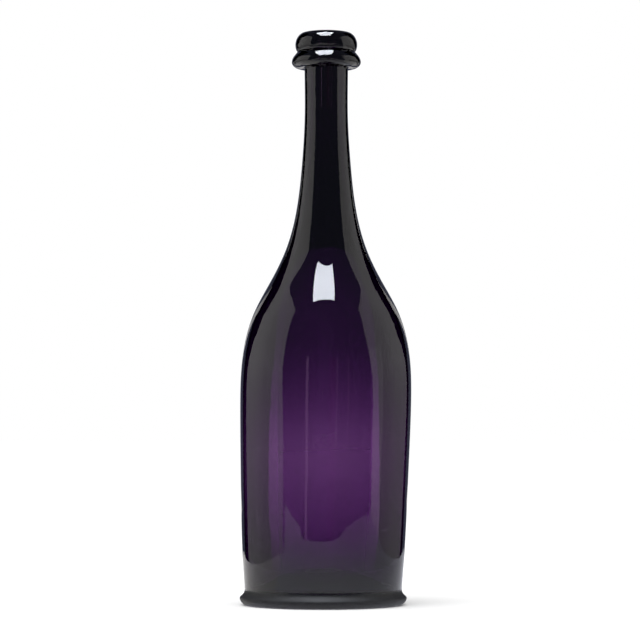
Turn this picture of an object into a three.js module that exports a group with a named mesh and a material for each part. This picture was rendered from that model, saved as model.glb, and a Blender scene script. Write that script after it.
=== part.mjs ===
// An antique blown glass bottle in dark amethyst. It is one blown vessel with a pushed-up base, and
// three further gathers of glass that were laid on it hot: the string rim that a cork's tie catches
// under, the lip ring round the mouth, and the scar that the pontil rod left in the kick.
//
// Millimetres, +Z up. The origin is the centre of the base, on the surface the bottle stands on.
import * as THREE from "three";

// Driving dimensions.
const HEIGHT = 330;
const AROUND = 48; // flats round the bottle
const FUSED_GAP = 0.3; // stands for the line where one gather is fused to another

const STANDING_RING = { inner: 41.2, outer: 44.4 }; // the flat ring that the bottle stands on
const HEEL = { radius: 48, height: 3.9, tuck: 7.4 }; // the heel, spread outwards while it was soft
const KICK = { height: 15, floor: 5 }; // the push-up, and the thickness of glass at its top
const WELL = { radius: 39.6, height: 8 }; // the lowest line of the inside, round the kick
const MOUTH = { bore: 9, crest: 11.6, flare: 3 }; // the fire-polished end of the neck
const NECK_OUTER = 12.6; // where the rings are laid on

// The blown wall from heel to mouth: height, outer radius and wall thickness.
const WALL_STATIONS = [
  [HEEL.tuck, 45.1, 4.2],
  [30, 46.5, 2.9],
  [60, 47.7, 2.15],
  [90, 48.6, 1.9],
  [118, 49.15, 2.4],
  [136, 48.7, 2.85],
  [153, 46.3, 3.3],
  [168, 41.5, 3.4],
  [184, 33.1, 3.6],
  [202, 24.2, 4.0],
  [224, 17.8, 4.3],
  [252, 14.2, 4.0],
  [284, 12.4, 3.6],
  [312, 12.6, 3.7],
];

// The two trails laid round the neck. The rim's underside is flat as far as its flat radius.
const STRING_RIM = { bottom: 309.6, flat: 15.2, widest: 313, radius: 19.9, top: 318.8, topRadius: 16.7 };
const LIP = { bottom: 319.2, widest: 323, radius: 17.9 };
const PONTIL = { radius: 11.5, middle: 1.6, edge: 0.7 }; // its reach from the axis, and its depths

const AMETHYST = 0x2b1238;

function glass() {
  return new THREE.MeshStandardMaterial({
    name: "amethyst_glass",
    color: AMETHYST,
    roughness: 0.04,
    metalness: 0,
  });
}

// Points along a cubic curve without its first point, so that curves can follow one another.
function bend(from, handleA, handleB, to, steps) {
  const ends = [from, handleA, handleB, to].map(([radius, height]) => new THREE.Vector2(radius, height));
  return new THREE.CubicBezierCurve(...ends).getPoints(steps).slice(1);
}

// A profile of points (radius, height) turned once round the bottle's axis.
function turned(name, profile) {
  const geometry = new THREE.LatheGeometry(profile, AROUND);
  geometry.rotateX(Math.PI / 2);
  const mesh = new THREE.Mesh(geometry, glass());
  mesh.name = name;
  return mesh;
}

const outerCurve = new THREE.SplineCurve(WALL_STATIONS.map(([z, r]) => new THREE.Vector2(r, z)));
const wallCurve = new THREE.SplineCurve(WALL_STATIONS.map(([z, , wall]) => new THREE.Vector2(wall, z)));

// A point of the inside, which lies the wall's thickness in from the outside and square to it.
function innerPoint(share) {
  const at = outerCurve.getPoint(share);
  const along = outerCurve.getTangent(share);
  const wall = wallCurve.getPoint(share).x;
  return new THREE.Vector2(at.x - along.y * wall, at.y + along.x * wall);
}

// The underside of the kick, from the standing ring to its top on the axis.
function kickUnderside(steps) {
  const { inner } = STANDING_RING;
  const top = KICK.height;
  const foot = new THREE.Vector2(inner, 0);
  return [foot, ...bend([inner, 0], [inner - 4, top / 2], [inner / 2, top], [0, top], steps)];
}

// The heel, from the standing ring out to its edge and back in to the foot of the wall.
function heel() {
  const { outer } = STANDING_RING;
  const { radius, height, tuck } = HEEL;
  const foot = WALL_STATIONS[0][1];
  return [
    new THREE.Vector2(outer, 0),
    ...bend([outer, 0], [outer + 1.2, 0], [radius, height * 0.5], [radius, height], 4),
    ...bend([radius, height], [radius, height + 1.7], [foot + 0.8, tuck - 1.5], [foot, tuck], 3),
  ];
}

// The blown vessel: kick, heel, body, shoulder and neck in one wall, open at the mouth.
function vesselProfile() {
  const { bore, crest, flare } = MOUTH;
  const { radius, height } = WELL;
  const outside = outerCurve.getPoints(24).slice(1);
  const mouth = [
    new THREE.Vector2(NECK_OUTER, HEIGHT),
    new THREE.Vector2(crest, HEIGHT),
    ...bend([crest, HEIGHT], [crest - 1.4, HEIGHT], [bore, HEIGHT - flare / 3], [bore, HEIGHT - flare], 3),
  ];
  const insideSteps = 18;
  const inside = [];
  for (let step = insideSteps; step >= 1; step -= 1) inside.push(innerPoint(step / insideSteps));
  const low = inside.at(-1);
  const well = bend([low.x, low.y], [low.x - 0.6, height + 5], [radius + 2, height + 1], [radius, height], 3);
  const top = KICK.height + KICK.floor;
  const hump = bend([radius, height], [radius - 4, (top + height) / 2], [radius / 2, top], [0, top], 7);
  return [...kickUnderside(8).reverse(), ...heel(), ...outside, ...mouth, ...inside, ...well, ...hump];
}

// The string rim: a trail laid round the neck and tooled down to a skirt.
function stringRimProfile() {
  const bore = NECK_OUTER + FUSED_GAP;
  const { bottom, flat, widest, radius, top, topRadius } = STRING_RIM;
  return [
    new THREE.Vector2(bore, top),
    new THREE.Vector2(bore, bottom),
    new THREE.Vector2(flat, bottom),
    ...bend([flat, bottom], [radius - 1.6, bottom], [radius, widest - 1.5], [radius, widest], 4),
    ...bend([radius, widest], [radius, widest + 2.2], [topRadius + 1.3, top - 1.6], [topRadius, top], 4),
    new THREE.Vector2(bore, top),
  ];
}

// The lip: a second trail laid round the end of the neck and rounded over.
function lipProfile() {
  const bore = NECK_OUTER + FUSED_GAP;
  const { bottom, widest, radius } = LIP;
  const foot = STRING_RIM.topRadius;
  return [
    new THREE.Vector2(bore, HEIGHT),
    new THREE.Vector2(bore, bottom),
    new THREE.Vector2(foot, bottom),
    ...bend([foot, bottom], [radius - 0.4, bottom + 1], [radius, widest - 1.6], [radius, widest], 3),
    ...bend([radius, widest], [radius, widest + 3.4], [bore + 2.2, HEIGHT], [bore, HEIGHT], 5),
  ];
}

// The pontil scar: a thin cap of glass under the top of the kick.
function pontilProfile() {
  const { radius, middle, edge } = PONTIL;
  const upper = kickUnderside(32)
    .filter((point) => point.x < radius)
    .map((point) => new THREE.Vector2(point.x, point.y - FUSED_GAP));
  const lower = upper.map((point) => {
    const share = point.x / radius;
    return new THREE.Vector2(point.x, point.y - edge - (middle - edge) * (1 - share * share));
  });
  return [...lower.reverse(), ...upper];
}

const bottle = new THREE.Group();
bottle.add(turned("vessel", vesselProfile()));
bottle.add(turned("string_rim", stringRimProfile()));
bottle.add(turned("lip_ring", lipProfile()));
bottle.add(turned("pontil_scar", pontilProfile()));

export default bottle;
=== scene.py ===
# An antique blown bottle in dark amethyst glass, standing on a pale studio floor.
# Sizes in the dictionaries are millimetres, as on a drawing. The value mm turns them into metres.
import math

import bmesh
import bpy
import numpy as np
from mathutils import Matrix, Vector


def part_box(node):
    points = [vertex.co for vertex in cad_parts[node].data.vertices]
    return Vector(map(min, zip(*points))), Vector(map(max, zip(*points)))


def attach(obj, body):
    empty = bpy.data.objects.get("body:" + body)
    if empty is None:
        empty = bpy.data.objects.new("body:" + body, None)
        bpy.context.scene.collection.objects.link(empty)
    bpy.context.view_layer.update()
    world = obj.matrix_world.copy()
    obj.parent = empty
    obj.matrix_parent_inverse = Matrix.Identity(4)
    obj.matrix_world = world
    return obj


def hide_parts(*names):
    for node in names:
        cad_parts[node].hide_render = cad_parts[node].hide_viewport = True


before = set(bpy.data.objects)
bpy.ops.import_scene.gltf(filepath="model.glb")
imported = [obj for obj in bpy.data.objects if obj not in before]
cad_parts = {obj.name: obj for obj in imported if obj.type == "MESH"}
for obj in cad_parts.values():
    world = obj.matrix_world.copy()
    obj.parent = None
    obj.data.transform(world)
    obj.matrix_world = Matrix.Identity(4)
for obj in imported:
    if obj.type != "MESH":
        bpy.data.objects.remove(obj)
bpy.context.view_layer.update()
drawnHeight = 330  # of the whole bottle
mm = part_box("vessel")[1].z / drawnHeight
collection = bpy.context.scene.collection


# Camera. It looks a little up from low down, so the underside of the rim shows.
view = {"distance": 1.558, "height": 0.1008, "tilt": 2.31, "turn": 0.068, "lens": 152}


def makeCamera():
    data = bpy.data.cameras.new("studioCamera")
    data.lens = view["lens"]
    data.clip_start, data.clip_end = 0.05, 60
    camera = bpy.data.objects.new("studioCamera", data)
    camera.location = (0, -view["distance"], view["height"])
    camera.rotation_euler = (math.radians(90 + view["tilt"]), 0, math.radians(view["turn"]))
    collection.objects.link(camera)
    bpy.context.scene.camera = camera


makeCamera()
print("camera is in place")


# Adds a node to a tree, with its settings, and links or sets its inputs.
def addNode(tree, kind, inputs=None, **settings):
    made = tree.nodes.new(kind)
    for name, value in settings.items():
        setattr(made, name, value)
    for name, value in (inputs or {}).items():
        if isinstance(value, bpy.types.NodeSocket):
            tree.links.new(value, made.inputs[name])
        else:
            made.inputs[name].default_value = value
    return made


def calc(tree, operation, *values):
    return addNode(tree, "ShaderNodeMath", dict(enumerate(values)), operation=operation).outputs[0]


def whole(tree, operation, *values):
    return addNode(tree, "FunctionNodeIntegerMath", dict(enumerate(values)), operation=operation).outputs[0]


# Noise from -1 to 1 at a place that is stretched by size, a length for each axis.
def noiseAround(tree, place, size, seed, detail=1.0):
    spread = addNode(tree, "ShaderNodeVectorMath", {0: place, 1: [1 / s for s in size]}, operation="MULTIPLY")
    noise = addNode(
        tree,
        "ShaderNodeTexNoise",
        {"Vector": spread.outputs[0], "W": seed, "Scale": 1.0, "Detail": detail, "Roughness": 0.5},
        noise_dimensions="4D",
    )
    return calc(tree, "MULTIPLY_ADD", noise.outputs[0], 2.0, -1.0)


# Points of an outline in millimetres, as (radius, height).
def bend(start, handleA, handleB, end, steps):
    a, b, c, d = (np.array(p, float) for p in (start, handleA, handleB, end))
    t = np.linspace(0, 1, steps + 1)[:, None]
    return (1 - t) ** 3 * a + 3 * t * (1 - t) ** 2 * b + 3 * t**2 * (1 - t) * c + t**3 * d


# The smooth curve through some points, as a natural spline, at even steps along it.
def smoothThrough(points, steps):
    given = np.array(points, float)
    run = np.concatenate([[0], np.cumsum(np.linalg.norm(np.diff(given[:, :2], axis=0), axis=1))])
    gap, rows = np.diff(run), len(given) - 2
    matrix, pull = np.zeros((rows, rows)), np.zeros((rows, given.shape[1]))
    for i in range(rows):
        matrix[i, i] = 2 * (gap[i] + gap[i + 1])
        if i + 1 < rows:
            matrix[i, i + 1] = matrix[i + 1, i] = gap[i + 1]
        pull[i] = 6 * ((given[i + 2] - given[i + 1]) / gap[i + 1] - (given[i + 1] - given[i]) / gap[i])
    curl = np.zeros_like(given)
    curl[1:-1] = np.linalg.solve(matrix, pull)
    at = np.linspace(0, run[-1], steps + 1)
    k = np.clip(np.searchsorted(run, at, side="right") - 1, 0, len(gap) - 1)
    h, left, right = gap[k, None], (run[k + 1] - at)[:, None], (at - run[k])[:, None]
    return (
        (curl[k] * left**3 + curl[k + 1] * right**3) / (6 * h)
        + (given[k] / h - curl[k] * h / 6) * left
        + (given[k + 1] / h - curl[k + 1] * h / 6) * right
    )


# Joins stretches end to end, leaving out the doubled points between them.
def joined(*stretches):
    points = [np.array(stretches[0][0], float)[:2]]
    for stretch in stretches:
        for point in stretch:
            if np.linalg.norm(np.array(point)[:2] - points[-1]) > 1e-4:
                points.append(np.array(point, float)[:2])
    return np.array(points)


# Turns an outline round the axis as a glassmaker's hand does, not quite true.
def handLatheTree():
    tree = bpy.data.node_groups.new("handLathe", "GeometryNodeTree")
    sockets = [
        ("Profile", "Geometry", None),
        ("Sides", "Int", 240),
        ("Sway", "Float", 0.0),
        ("Sway Height", "Float", 0.165),
        ("Out of Round", "Float", 0.0),
        ("Ripple Depth", "Float", 0.0),
        ("Ripple Size", "Float", 0.03),
        ("Draw Line Depth", "Float", 0.0),
        ("Draw Line Width", "Float", 0.01),
        ("Lap Height", "Float", 0.0),
        ("Lap Place", "Float", 0.0),
        ("Lap Width", "Float", 0.3),
        ("Seed", "Int", 0),
        ("Material", "Material", None),
    ]
    for name, kind, value in sockets:
        made = tree.interface.new_socket(name, in_out="INPUT", socket_type="NodeSocket" + kind)
        if value is not None:
            made.default_value = value
    tree.interface.new_socket("Glass", in_out="OUTPUT", socket_type="NodeSocketGeometry")
    given = addNode(tree, "NodeGroupInput").outputs
    position = addNode(tree, "GeometryNodeInputPosition").outputs[0]

    # One row of the grid for each point of the outline, and one column for each side.
    columns = whole(tree, "ADD", given["Sides"], 1)
    points = addNode(tree, "GeometryNodeAttributeDomainSize", {0: given["Profile"]}, component="MESH")
    grid = addNode(
        tree,
        "GeometryNodeMeshGrid",
        {"Size X": 1.0, "Size Y": 1.0, "Vertices X": points.outputs["Point Count"], "Vertices Y": columns},
    ).outputs["Mesh"]
    index = addNode(tree, "GeometryNodeInputIndex").outputs[0]
    row = whole(tree, "DIVIDE_FLOOR", index, columns)
    column = whole(tree, "FLOORED_MODULO", index, columns)

    def fromProfile(value, kind):
        return addNode(
            tree,
            "GeometryNodeSampleIndex",
            {"Geometry": given["Profile"], "Value": value, "Index": row},
            data_type=kind,
            domain="POINT",
        ).outputs[0]

    def named(name):
        found = addNode(tree, "GeometryNodeInputNamedAttribute", {"Name": name}, data_type="FLOAT")
        return fromProfile(found.outputs[0], "FLOAT")

    outline = addNode(tree, "ShaderNodeSeparateXYZ", {0: fromProfile(position, "FLOAT_VECTOR")}).outputs
    share, inside = named("ripple"), named("inside")
    angle = calc(tree, "MULTIPLY", calc(tree, "DIVIDE", column, given["Sides"]), math.tau)
    cosine, sine = calc(tree, "COSINE", angle), calc(tree, "SINE", angle)

    def turned(radius, height):
        x, y = calc(tree, "MULTIPLY", radius, cosine), calc(tree, "MULTIPLY", radius, sine)
        return addNode(tree, "ShaderNodeCombineXYZ", {0: x, 1: y, 2: height}).outputs[0]

    # The inside of the wall ripples on its own, so the glass is thicker here and thinner there.
    true = turned(outline[0], outline[2])
    seed = calc(tree, "MULTIPLY_ADD", inside, 7.3, given["Seed"])

    def rippled(size, stretch, depth, seedShift):
        tall = calc(tree, "MULTIPLY", size, stretch)
        scale = addNode(tree, "ShaderNodeCombineXYZ", {0: size, 1: size, 2: tall})
        spread = addNode(tree, "ShaderNodeVectorMath", {0: true, 1: scale.outputs[0]}, operation="DIVIDE")
        shifted = calc(tree, "ADD", seed, seedShift)
        noise = addNode(
            tree,
            "ShaderNodeTexNoise",
            {"Vector": spread.outputs[0], "W": shifted, "Scale": 1.0, "Detail": 1.0},
            noise_dimensions="4D",
        )
        return calc(tree, "MULTIPLY", calc(tree, "MULTIPLY_ADD", noise.outputs[0], 2.0, -1.0), depth)

    ripple = rippled(given["Ripple Size"], 1.6, given["Ripple Depth"], 0.0)
    drawLines = rippled(given["Draw Line Width"], 14.0, given["Draw Line Depth"], 31.0)
    oval = calc(tree, "COSINE", calc(tree, "MULTIPLY_ADD", angle, 2.0, 0.7))
    oval = calc(tree, "MULTIPLY", calc(tree, "MULTIPLY", oval, outline[0]), given["Out of Round"])
    away = calc(tree, "DIVIDE", calc(tree, "SUBTRACT", angle, given["Lap Place"]), given["Lap Width"])
    lap = calc(tree, "EXPONENT", calc(tree, "MULTIPLY", calc(tree, "MULTIPLY", away, away), -1.0))
    lap = calc(tree, "MULTIPLY", lap, given["Lap Height"])
    moves = calc(tree, "ADD", calc(tree, "ADD", ripple, drawLines), calc(tree, "ADD", oval, lap))
    radius = calc(tree, "MULTIPLY_ADD", moves, share, outline[0])
    # The body stands a little out of line with the neck.
    sway = addNode(
        tree,
        "ShaderNodeMapRange",
        {"Value": outline[2], "From Max": given["Sway Height"], "To Max": given["Sway"]},
        interpolation_type="SMOOTHSTEP",
    ).outputs[0]
    swaying = addNode(tree, "ShaderNodeCombineXYZ", {0: sway})
    place = addNode(
        tree,
        "ShaderNodeVectorMath",
        {0: turned(radius, outline[2]), 1: swaying.outputs[0]},
        operation="ADD",
    )

    shaped = addNode(tree, "GeometryNodeSetPosition", {"Geometry": grid, "Position": place.outputs[0]})
    closed = addNode(tree, "GeometryNodeMergeByDistance", {"Geometry": shaped.outputs[0], "Distance": 2e-6})
    smooth = addNode(tree, "GeometryNodeSetShadeSmooth", {"Geometry": closed.outputs[0]})
    real = addNode(tree, "GeometryNodeRealizeInstances", {0: smooth.outputs[0]})
    coated = addNode(
        tree, "GeometryNodeSetMaterial", {"Geometry": real.outputs[0], "Material": given["Material"]}
    )
    out = addNode(tree, "NodeGroupOutput")
    tree.links.new(coated.outputs[0], out.inputs[0])
    return tree


handLathe = handLatheTree()


# A piece turned from an outline in millimetres. ripple and inside give each point its own share.
def turnedPiece(name, outline, ripple, inside, material, settings):
    mesh = bpy.data.meshes.new(name + "Outline")
    steps = range(len(outline) - 1)
    mesh.from_pydata([(r * mm, 0, z * mm) for r, z in outline], [(i, i + 1) for i in steps], [])
    for attribute, values in (("ripple", ripple), ("inside", inside)):
        layer = mesh.attributes.new(attribute, "FLOAT", "POINT")
        layer.data.foreach_set("value", np.array(values, np.float32))
    source = bpy.data.objects.new(name + "Outline", mesh)
    collection.objects.link(source)
    modifier = source.modifiers.new("handLathe", "NODES")
    modifier.node_group = handLathe
    wanted = {**settings, "Material": material}
    for item in handLathe.interface.items_tree:
        if item.in_out == "INPUT" and item.name in wanted:
            modifier[item.identifier] = wanted[item.name]
    graph = bpy.context.evaluated_depsgraph_get()
    made = bpy.data.meshes.new_from_object(source.evaluated_get(graph))
    bpy.data.objects.remove(source)
    bpy.data.meshes.remove(mesh)

    shape = bmesh.new()
    shape.from_mesh(made)
    bmesh.ops.recalc_face_normals(shape, faces=shape.faces)
    shape.to_mesh(made)
    loose = sum(1 for edge in shape.edges if len(edge.link_faces) != 2)
    shape.free()
    made.name = name
    piece = bpy.data.objects.new(name, made)
    collection.objects.link(piece)
    print(f"{name}: {len(made.vertices)} points, {len(made.polygons)} faces, {loose} open edges")
    return piece


# Amethyst glass: clear glass whose colour comes from what it soaks up along the light's way.
glass = {
    "soaksUp": (663, 990, 581),  # of red, green and blue, for each metre
    "bends": 1.52,
    "polish": 0.012,  # roughness of the fire-polished skin
    "haze": 0.02,  # roughness that the faint haze adds
    "scuff": 0.03,
    "wear": 0.62,  # roughness that the shelf has given the heel
    "wornFrom": (0.0065, 0.0105),  # fully worn below the first height, and not at all above the second
    "wornOutside": 0.0415,  # no wear nearer the axis than this
    "dimple": 9e-6,  # depths of relief, in metres
    "grain": 0.1e-6,
    "drawLine": 1.2e-6,
    "trailLine": 2.0e-6,
    "grit": 3e-6,
}


def amethystGlass(name, trail=False):
    material = bpy.data.materials.new(name)
    material.use_nodes = True
    tree = material.node_tree
    tree.nodes.clear()
    place = addNode(tree, "ShaderNodeTexCoord").outputs["Object"]
    height = addNode(tree, "ShaderNodeSeparateXYZ", {0: place}).outputs[2]

    # Roughness: a fire polish, a faint haze in patches, fine scuffs, and a worn heel.
    haze = calc(tree, "MAXIMUM", noiseAround(tree, place, (0.03, 0.03, 0.05), 3.0, 4.0), 0.0)
    scuffs = noiseAround(tree, place, (0.0007, 0.0007, 0.012), 8.0, 2.0)
    scuffs = calc(tree, "MULTIPLY", calc(tree, "GREATER_THAN", scuffs, 0.72), haze)
    low, high = glass["wornFrom"]
    worn = addNode(
        tree,
        "ShaderNodeMapRange",
        {"Value": height, "From Min": low, "From Max": high, "To Min": 1.0, "To Max": 0.0},
        interpolation_type="SMOOTHSTEP",
    ).outputs[0]
    flat = addNode(tree, "ShaderNodeVectorMath", {0: place, 1: (1, 1, 0)}, operation="MULTIPLY").outputs[0]
    reach = addNode(tree, "ShaderNodeVectorMath", {0: flat}, operation="LENGTH").outputs["Value"]
    worn = calc(tree, "MULTIPLY", worn, calc(tree, "GREATER_THAN", reach, glass["wornOutside"]))
    grit = calc(tree, "MULTIPLY_ADD", noiseAround(tree, place, (0.0012, 0.0012, 0.0012), 5.0, 3.0), 0.5, 0.6)
    rough = calc(tree, "MULTIPLY_ADD", haze, glass["haze"], glass["polish"])
    rough = calc(tree, "MULTIPLY_ADD", scuffs, glass["scuff"], rough)
    rough = calc(tree, "MULTIPLY_ADD", worn, glass["wear"], rough)

    # Bump: the chilled skin's slow dimples, its fine grain, draw lines, and the grit of the worn heel.
    dimples = noiseAround(tree, place, (0.007, 0.007, 0.009), 1.0, 2.0)
    grain = noiseAround(tree, place, (0.0011, 0.0011, 0.0009), 2.0, 2.0)
    stretch = (0.02, 0.02, 0.0012) if trail else (0.0022, 0.0022, 0.06)
    lines = noiseAround(tree, place, stretch, 4.0, 2.0)
    relief = calc(tree, "MULTIPLY", dimples, glass["dimple"])
    relief = calc(tree, "MULTIPLY_ADD", grain, glass["grain"], relief)
    relief = calc(tree, "MULTIPLY_ADD", lines, glass["trailLine" if trail else "drawLine"], relief)
    relief = calc(tree, "MULTIPLY_ADD", calc(tree, "MULTIPLY", worn, grit), glass["grit"], relief)
    bump = addNode(tree, "ShaderNodeBump", {"Strength": 1.0, "Distance": 1.0, "Height": relief})

    skin = addNode(
        tree,
        "ShaderNodeBsdfPrincipled",
        {"Roughness": rough, "Normal": bump.outputs[0], "Base Color": (1, 1, 1, 1)},
    )
    skin.inputs["IOR"].default_value = glass["bends"]
    skin.inputs["Transmission Weight"].default_value = 1
    most = max(glass["soaksUp"])
    body = addNode(
        tree,
        "ShaderNodeVolumeAbsorption",
        {"Color": (*[1 - share / most for share in glass["soaksUp"]], 1), "Density": most},
    )
    out = addNode(tree, "ShaderNodeOutputMaterial")
    tree.links.new(skin.outputs[0], out.inputs["Surface"])
    tree.links.new(body.outputs[0], out.inputs["Volume"])
    return material


# The scar's skin: glass that broke, with conchoidal steps and a sugary edge.
def brokenGlass():
    material = amethystGlass("brokenPontilGlass")
    tree = material.node_tree
    skin = next(node for node in tree.nodes if node.type == "BSDF_PRINCIPLED")
    bump = next(node for node in tree.nodes if node.type == "BUMP")
    place = next(node for node in tree.nodes if node.type == "TEX_COORD").outputs["Object"]
    steps = noiseAround(tree, place, (0.0035, 0.0035, 0.0035), 17.0, 1.0)
    steps = calc(tree, "FRACT", calc(tree, "MULTIPLY", steps, 4.0))
    sugar = noiseAround(tree, place, (0.0007, 0.0007, 0.0007), 19.0, 4.0)
    relief = calc(tree, "MULTIPLY_ADD", sugar, 6e-5, calc(tree, "MULTIPLY", steps, 2.5e-4))
    tree.links.new(relief, bump.inputs["Height"])
    tree.links.new(calc(tree, "MULTIPLY_ADD", sugar, 0.15, 0.32), skin.inputs["Roughness"])
    return material


bottleGlass = amethystGlass("amethystGlass")
trailGlass = amethystGlass("amethystTrailGlass", trail=True)
scarGlass = brokenGlass()
print("glass is mixed")


# The blown vessel. Its wall is given by height, outer radius and thickness.
vessel = {
    "wall": [
        (9.4, 45.2, 4.1),
        (30, 46.5, 2.9),
        (60, 47.7, 2.15),
        (90, 48.6, 1.9),
        (118, 49.15, 2.4),
        (136, 48.7, 2.85),
        (153, 46.3, 3.3),
        (168, 41.5, 3.4),
        (184, 33.1, 3.6),
        (202, 24.2, 4.0),
        (224, 17.8, 4.3),
        (252, 14.2, 4.0),
        (284, 12.4, 3.6),
        (312, 12.6, 3.7),
        (322, 12.6, 3.7),
    ],
    "standInner": 41.6,
    "standOuter": 43.8,
    "heelRadius": 48,
    "heelHeight": 3.9,
    "kickHeight": 15,
    "kickGlass": 5,  # thickness of glass at the top of the kick
    "wellRadius": 39.6,
    "wellHeight": 8,
    "bore": 9,
    "crest": 11.5,
}
sway = {"Sway": 1.79 * mm, "Sway Height": 165 * mm}  # sideways, from the foot up to the shoulder


def kickUnderside(steps):
    inner, top = vessel["standInner"], vessel["kickHeight"]
    return bend((0, top), (inner / 2, top), (inner - 4.4, top / 2), (inner - 0.5, 0.9), steps)


def makeVessel():
    v = vessel
    stations = [(radius, height, wall) for height, radius, wall in v["wall"]]
    middle = smoothThrough(stations, 190)
    along = np.gradient(middle[:, :2], axis=0)
    along /= np.linalg.norm(along, axis=1)[:, None]
    square = np.stack([-along[:, 1], along[:, 0]], axis=1)
    inner = (middle[:, :2] + square * middle[:, 2:3])[::-1]

    inRing, outRing = v["standInner"], v["standOuter"]
    heelRadius, heelHeight = v["heelRadius"], v["heelHeight"]
    low = stations[0]
    foot = joined(
        bend((inRing - 0.5, 0.9), (inRing - 0.35, 0.3), (inRing - 0.1, 0), (inRing + 0.6, 0), 4),
        bend((inRing + 0.6, 0), (inRing + 1, 0), (outRing - 0.4, 0), (outRing, 0), 2),
    )
    heel = joined(
        bend((outRing, 0), (outRing + 1.8, 0), (heelRadius, heelHeight * 0.5), (heelRadius, heelHeight), 12),
        bend(
            (heelRadius, heelHeight), (heelRadius, heelHeight + 1.7), (low[0] - 0.2, low[1] - 4), low[:2], 16
        ),
    )
    neckTop, crest, bore = stations[-1], v["crest"], v["bore"]
    mouth = joined(
        bend(neckTop[:2], (neckTop[0], neckTop[1] + 3), (neckTop[0], 329.1), (12.3, 329.45), 6),
        bend((12.3, 329.45), (12.1, 329.8), (crest + 0.4, drawnHeight), (crest, drawnHeight), 5),
        bend((crest, drawnHeight), (crest - 1.5, drawnHeight), (bore + 0.1, 329), (bore, 326.4), 10),
        bend((bore, 326.4), (bore - 0.1, 324.5), inner[0] + (0, 1.5), inner[0], 4),
    )
    wellRadius, wellHeight = v["wellRadius"], v["wellHeight"]
    top = v["kickHeight"] + v["kickGlass"]
    end = inner[-1]
    well = bend(end, end + (-0.3, -2.6), (wellRadius + 1.6, wellHeight), (wellRadius, wellHeight), 10)
    hump = bend(
        (wellRadius, wellHeight), (wellRadius - 4, wellHeight + 0.2), (wellRadius / 2 + 4, top), (0, top), 40
    )
    outsideRun = joined(kickUnderside(40), foot, heel, middle[:, :2], mouth)
    insideRun = joined(inner, well, hump)[1:]
    outline = np.vstack([outsideRun, insideRun])

    # Ripples fade out at the mouth and the heel, where the tools held the glass true.
    radius, height = outline[:, 0], outline[:, 1]
    inside = np.concatenate([np.zeros(len(outsideRun)), np.ones(len(insideRun))])
    fade = np.clip((height - 9) / 30, 0, 1) * np.clip((318 - height) / 60, 0, 1)
    onWall = np.clip((radius - 8) / 3, 0, 1)
    underKick = np.arange(len(outline)) < 41
    ripple = np.where(underKick, 0, fade * onWall)
    settings = {
        "Sides": 256,
        **sway,
        "Out of Round": 0.0022,
        "Ripple Depth": 0.14 * mm,
        "Ripple Size": 38 * mm,
        "Draw Line Depth": 0.05 * mm,
        "Draw Line Width": 9 * mm,
        "Seed": 4,
    }
    return turnedPiece("blownVessel", outline, ripple, inside, bottleGlass, settings)


blownVessel = makeVessel()
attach(blownVessel, "root")
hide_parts("vessel")


# The two trails laid round the neck. Their bores sink a little into the neck, as fused glass does.
stringRim = {"bore": 12.2, "bottom": 309.5, "flat": 15.2, "widest": 313, "radius": 19.95, "top": 318.9}
lipRing = {"bore": 12.0, "bottom": 318.7, "groove": 16.7, "widest": 323.1, "radius": 17.9, "crest": 13}


def makeStringRim():
    s = stringRim
    bore, bottom, widest, radius, top = s["bore"], s["bottom"], s["widest"], s["radius"], s["top"]
    outline = joined(
        bend((bore, top), (bore, top - 2), (bore, bottom + 2), (bore, bottom - 0.5), 8),
        bend((bore, bottom - 0.5), (12.7, bottom - 0.3), (13.2, bottom), (s["flat"], bottom), 8),
        bend((s["flat"], bottom), (radius - 1.6, bottom), (radius, widest - 1.5), (radius, widest), 20),
        bend((radius, widest), (radius, widest + 2.2), (18.2, top - 1.9), (16.6, top), 18),
        bend((16.6, top), (15, top + 0.4), (13, top), (bore, top), 6),
    )
    share = np.clip((outline[:, 0] - 12.6) / 2, 0, 1)
    settings = {
        "Sides": 192,
        **sway,
        "Ripple Depth": 0.16 * mm,
        "Ripple Size": 16 * mm,
        "Lap Height": 0.35 * mm,
        "Lap Place": 1.9,
        "Lap Width": 0.22,
        "Seed": 11,
    }
    return turnedPiece("stringRim", outline, share, np.zeros(len(outline)), trailGlass, settings)


def makeLipRing():
    s = lipRing
    bore, bottom, widest, radius, crest = s["bore"], s["bottom"], s["widest"], s["radius"], s["crest"]
    crown = drawnHeight
    outline = joined(
        bend((bore, crown - 0.6), (bore, crown - 3), (bore, bottom + 3), (bore, bottom), 10),
        bend((bore, bottom), (13.5, bottom - 0.3), (15.2, bottom), (s["groove"], bottom + 0.4), 6),
        bend((s["groove"], bottom + 0.4), (17.5, bottom + 1.4), (radius, widest - 1.6), (radius, widest), 14),
        bend((radius, widest), (radius, widest + 3.8), (crest + 2.2, crown), (crest, crown), 22),
        bend((crest, crown), (crest - 0.4, crown), (bore, crown - 0.2), (bore, crown - 0.6), 4),
    )
    share = np.clip((outline[:, 0] - 12.6) / 2, 0, 1)
    settings = {
        "Sides": 192,
        **sway,
        "Ripple Depth": 0.14 * mm,
        "Ripple Size": 14 * mm,
        "Lap Height": 0.3 * mm,
        "Lap Place": 1.2,
        "Lap Width": 0.25,
        "Seed": 23,
    }
    return turnedPiece("lipRing", outline, share, np.zeros(len(outline)), trailGlass, settings)


for piece, node in ((makeStringRim(), "string_rim"), (makeLipRing(), "lip_ring")):
    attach(piece, "root")
    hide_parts(node)
print("trails are laid on")


# The scar under the kick, where the iron was cracked away.
pontil = {"radius": 11.5, "middle": 1.6, "edge": 0.5, "sink": 0.25}


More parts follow.
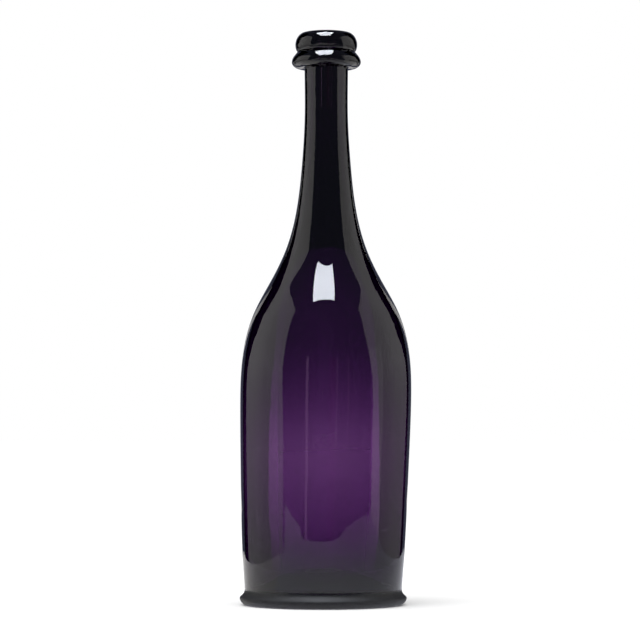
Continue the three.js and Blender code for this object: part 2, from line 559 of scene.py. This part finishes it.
def makePontilScar():
    under = kickUnderside(120)
    under = under[under[:, 0] < pontil["radius"]][::4]
    share = under[:, :1] / pontil["radius"]
    depth = pontil["edge"] + (pontil["middle"] - pontil["edge"]) * (1 - share**2)
    lower = under - np.hstack([np.zeros_like(share), depth])
    upper = under + (0, pontil["sink"])
    outline = np.vstack([lower, upper[::-1]])
    ripple = np.clip(outline[:, 0] / 6, 0, 1)
    settings = {
        "Sides": 96,
        **sway,
        "Ripple Depth": 1.6 * mm,
        "Ripple Size": 5 * mm,
        "Seed": 31,
    }
    return turnedPiece("pontilScar", outline, ripple, np.zeros(len(outline)), scarGlass, settings)


pontilScar = makePontilScar()
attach(pontilScar, "root")
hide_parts("pontil_scar")


# The studio. What only shows in the glass is kept from the camera.
studio = {
    "floorSize": 40,
    "wallDistance": 1.2,
    "backdrop": 1.0,
    "surround": 1.12,
    "darkness": 0.1,  # of the room in front, as the glass mirrors it
    "darkColour": (0.85, 0.92, 1.35),
    "gapDistance": 1.5,
    "flagDepth": 0.15,  # in front of the bottle and behind it
    "flagInner": 0.0414,
    "flagOuter": 0.15,
    "flagTop": 0.26,
}


# A glowing card that only shows mirrored in the glass, or only through it.
# Each fade is an axis, two places along it, and the shares of the strength at those two places.
def plainCard(name, corners, colour, strength, seenIn, fades=()):
    mesh = bpy.data.meshes.new(name)
    mesh.from_pydata(corners, [], [tuple(range(len(corners)))])
    card = bpy.data.objects.new(name, mesh)
    collection.objects.link(card)
    material = bpy.data.materials.new(name)
    material.use_nodes = True
    tree = material.node_tree
    tree.nodes.clear()
    place = addNode(tree, "ShaderNodeTexCoord").outputs["Object"]
    level = strength
    for axis, start, stop, first, last in fades:
        along = addNode(tree, "ShaderNodeSeparateXYZ", {0: place}).outputs[axis]
        ramp = {"Value": along, "From Min": start, "From Max": stop, "To Min": first, "To Max": last}
        level = calc(tree, "MULTIPLY", level, addNode(tree, "ShaderNodeMapRange", ramp).outputs[0])
    glow = addNode(tree, "ShaderNodeEmission", {"Color": (*colour, 1), "Strength": level})
    out = addNode(tree, "ShaderNodeOutputMaterial")
    tree.links.new(glow.outputs[0], out.inputs["Surface"])
    mesh.materials.append(material)
    card.visible_camera = card.visible_diffuse = False
    card.visible_shadow = card.visible_volume_scatter = False
    card.visible_glossy = seenIn == "mirror"
    card.visible_transmission = seenIn == "through"


def standing(a, b, low, high):
    return [(*a, low), (*b, low), (*b, high), (*a, high)]


def lying(left, right, near, far, height):
    return [(left, near, height), (right, near, height), (right, far, height), (left, far, height)]


# A place round the bottle, by the angle from its front.
def around(degrees, distance, height):
    angle = math.radians(degrees)
    return (distance * math.sin(angle), -distance * math.cos(angle), height)


def makeStudio():
    size = studio["floorSize"] / 2
    mesh = bpy.data.meshes.new("floor")
    mesh.from_pydata(lying(-size, size, -size, size, 0), [], [(0, 1, 2, 3)])
    floor = bpy.data.objects.new("floor", mesh)
    collection.objects.link(floor)
    paint = bpy.data.materials.new("paleFloor")
    paint.use_nodes = True
    surface = paint.node_tree.nodes["Principled BSDF"]
    surface.inputs["Base Color"].default_value = (0.9, 0.9, 0.9, 1)
    surface.inputs["Roughness"].default_value = 0.9
    surface.inputs["Specular IOR Level"].default_value = 0
    mesh.materials.append(paint)
    floor.visible_glossy = False

    # White walls left and right, each as (depth, height). They show in the glass as its upright bands.
    white = (1, 0.985, 0.99)
    away = studio["wallDistance"]
    left = [(-0.76, -0.2), (1.1, -0.2), (1.12, 0.24), (0.78, 0.55), (0.67, 1.13), (0.1, 1.35)]
    left += [(-0.25, 1.46), (-0.7, 1.46), (-0.72, 0.6), (-0.68, 0.3), (-0.75, 0.03)]
    right = [(-0.46, -0.2), (1.32, -0.2), (1.36, 0.22), (0.85, 0.5), (0.8, 1.06), (0.0, 1.45)]
    right += [(-0.25, 1.48), (-0.65, 1.42), (-0.73, 0.8), (-0.62, 0.3), (-0.56, 0.05)]
    fades = [(2, 0, 0.3, 0.64, 1), (1, 0.3, 1.1, 1, 0.5)]
    plainCard("leftWall", [(-away, y, z) for y, z in left], white, 0.95, "mirror", fades)
    plainCard("rightWall", [(away, y, z) for y, z in right], white, 0.8, "mirror", fades)
    turned = [(-0.46, -0.2), (-0.17, -0.2), (-0.2, 0.5), (-0.66, 0.5), (-0.62, 0.3), (-0.56, 0.05)]
    fades = [(2, 0, 0.3, 0.9, 1)]
    plainCard("rightEnd", [(away - 0.01, y, z) for y, z in turned], white, 0.92, "mirror", fades)

    # Dark screens where those walls end, and a bright line of background past the shoulders.
    for side in (-1, 1):
        screen = [(1.0, -0.3), (1.95, -0.3), (1.95, 2.2), (0.5, 2.2), (0.5, 1.05), (0.75, 0.4)]
        plainCard("darkScreen", [(side * (away + 0.02), y, z) for y, z in screen], white, 0, "mirror")
        line = [around(139, 0.32, 0.255), around(160, 0.31, 0.15)]
        line += [around(160, 0.31, 0.19), around(139, 0.32, 0.31)]
        plainCard("shoulderLine", [(side * x, y, z) for x, y, z in line], white, 0.7, "mirror")

    # The sheet of white board that the bottle stands on, with its uneven edge.
    board = [(-0.235, 0.45), (-0.235, 0), (-0.245, -0.12), (-0.25, -0.185), (-0.7, -0.5), (-0.49, -0.48)]
    board += [(-0.28, -0.44), (-0.185, -0.345), (-0.03, -0.35), (0.127, -0.33), (0.21, -0.39), (0.37, -0.38)]
    board += [(0.58, -0.27), (0.43, -0.11), (0.285, -0.02), (0.25, 0.05), (0.235, 0.17), (0.235, 0.45)]
    fades = [(1, -0.28, -0.1, 0.67, 1), (0, 0.03, 0.2, 1, 0.7)]
    plainCard("board", [(x, y, 0) for x, y in board], (0.97, 0.98, 1.08), 0.95, "mirror", fades)
    board = [(-0.03, 0.45), (-0.03, -0.018), (-0.25, -0.15), (-0.245, -0.12), (-0.235, 0), (-0.235, 0.45)]
    plainCard("leftOfBoard", [(x, y, 0.001) for x, y in board], white, 0.95, "mirror")

    # The floor further off in front, behind and either side, and a softbox overhead.
    plainCard("leftFloor", lying(-away, -0.27, -0.35, 1.1, -0.21), white, 1.1, "mirror")
    plainCard("rightFloor", lying(0.27, away, -0.35, 1.1, -0.21), white, 1.1, "mirror")
    plainCard("frontFloor", lying(-3, 3, -6, -2.4, -0.9), white, 0.85, "mirror")
    plainCard("backTable", lying(-0.5, 0.5, 1.5, 2.6, 0), white, 0.7, "mirror")
    plainCard("softbox", lying(-0.34, 0.205, -0.63, 0, 1.1), (0.93, 0.97, 1.06), 17, "mirror")

    # Narrow gaps between the curtains in front draw faint upright streaks down the body.
    for degrees, width, strength in ((-25.2, 3.2, 0.75), (8.5, 8, 0.12), (14, 1.6, 0.38), (29.5, 2.4, 0.26)):
        sides = (degrees - width / 2, degrees + width / 2)
        start, end = (around(turn, studio["gapDistance"], 0)[:2] for turn in sides)
        plainCard("gap", standing(start, end, -0.3, 0.5), (1, 0.62, 1.1), strength, "mirror")

    # Dim flags close by darken the sides of what shows through the glass, and one stands behind the neck.
    # A bright strip beside each flag lifts the purple between them.
    inner, outer, top = studio["flagInner"], studio["flagOuter"], studio["flagTop"]
    for side, dim in ((-1, 0.45), (1, 0.4)):
        for depth in (-studio["flagDepth"], studio["flagDepth"]):
            flag = standing((side * inner, depth), (side * outer, depth), 0, top)
            plainCard("flag", flag, white, dim, "through")
        behind = studio["flagDepth"] + 0.001
        edge = standing((side * 0.033, behind), (side * inner, behind), 0, top)
        plainCard("brightEdge", edge, white, 1.4, "through")
    plainCard("neckFlag", standing((-0.06, 0.12), (0.06, 0.12), 0.215, 0.36), white, 0, "through")

    lamp = bpy.data.lights.new("softLight", "AREA")
    lamp.shape, lamp.size, lamp.energy = "SQUARE", 1.4, 14
    light = bpy.data.objects.new("softLight", lamp)
    light.location = (-0.5, -0.6, 1.7)
    light.rotation_euler = (math.radians(18), math.radians(-16), 0)
    light.visible_glossy = light.visible_transmission = False
    collection.objects.link(light)


def makeWorld():
    world = bpy.data.worlds.new("studioWorld")
    bpy.context.scene.world = world
    world.use_nodes = True
    tree = world.node_tree
    tree.nodes.clear()
    path = addNode(tree, "ShaderNodeLightPath").outputs

    def either(chance, no, yes):
        return addNode(tree, "ShaderNodeMix", {0: chance, 2: no, 3: yes}).outputs[0]

    strength = either(path["Is Camera Ray"], studio["surround"], studio["backdrop"])
    strength = either(path["Is Glossy Ray"], strength, studio["darkness"])
    strength = either(path["Is Transmission Ray"], strength, studio["backdrop"])
    tint = {0: path["Is Glossy Ray"], 6: (1, 1, 1, 1), 7: (*studio["darkColour"], 1)}
    tint = addNode(tree, "ShaderNodeMix", tint, data_type="RGBA").outputs[2]
    tint = {0: path["Is Transmission Ray"], 6: tint, 7: (1, 1, 1, 1)}
    tint = addNode(tree, "ShaderNodeMix", tint, data_type="RGBA").outputs[2]
    sky = addNode(tree, "ShaderNodeBackground", {"Color": tint, "Strength": strength})
    out = addNode(tree, "ShaderNodeOutputWorld")
    tree.links.new(sky.outputs[0], out.inputs["Surface"])


makeStudio()
makeWorld()
bpy.context.scene.view_settings.view_transform = "Standard"
print("studio is lit")
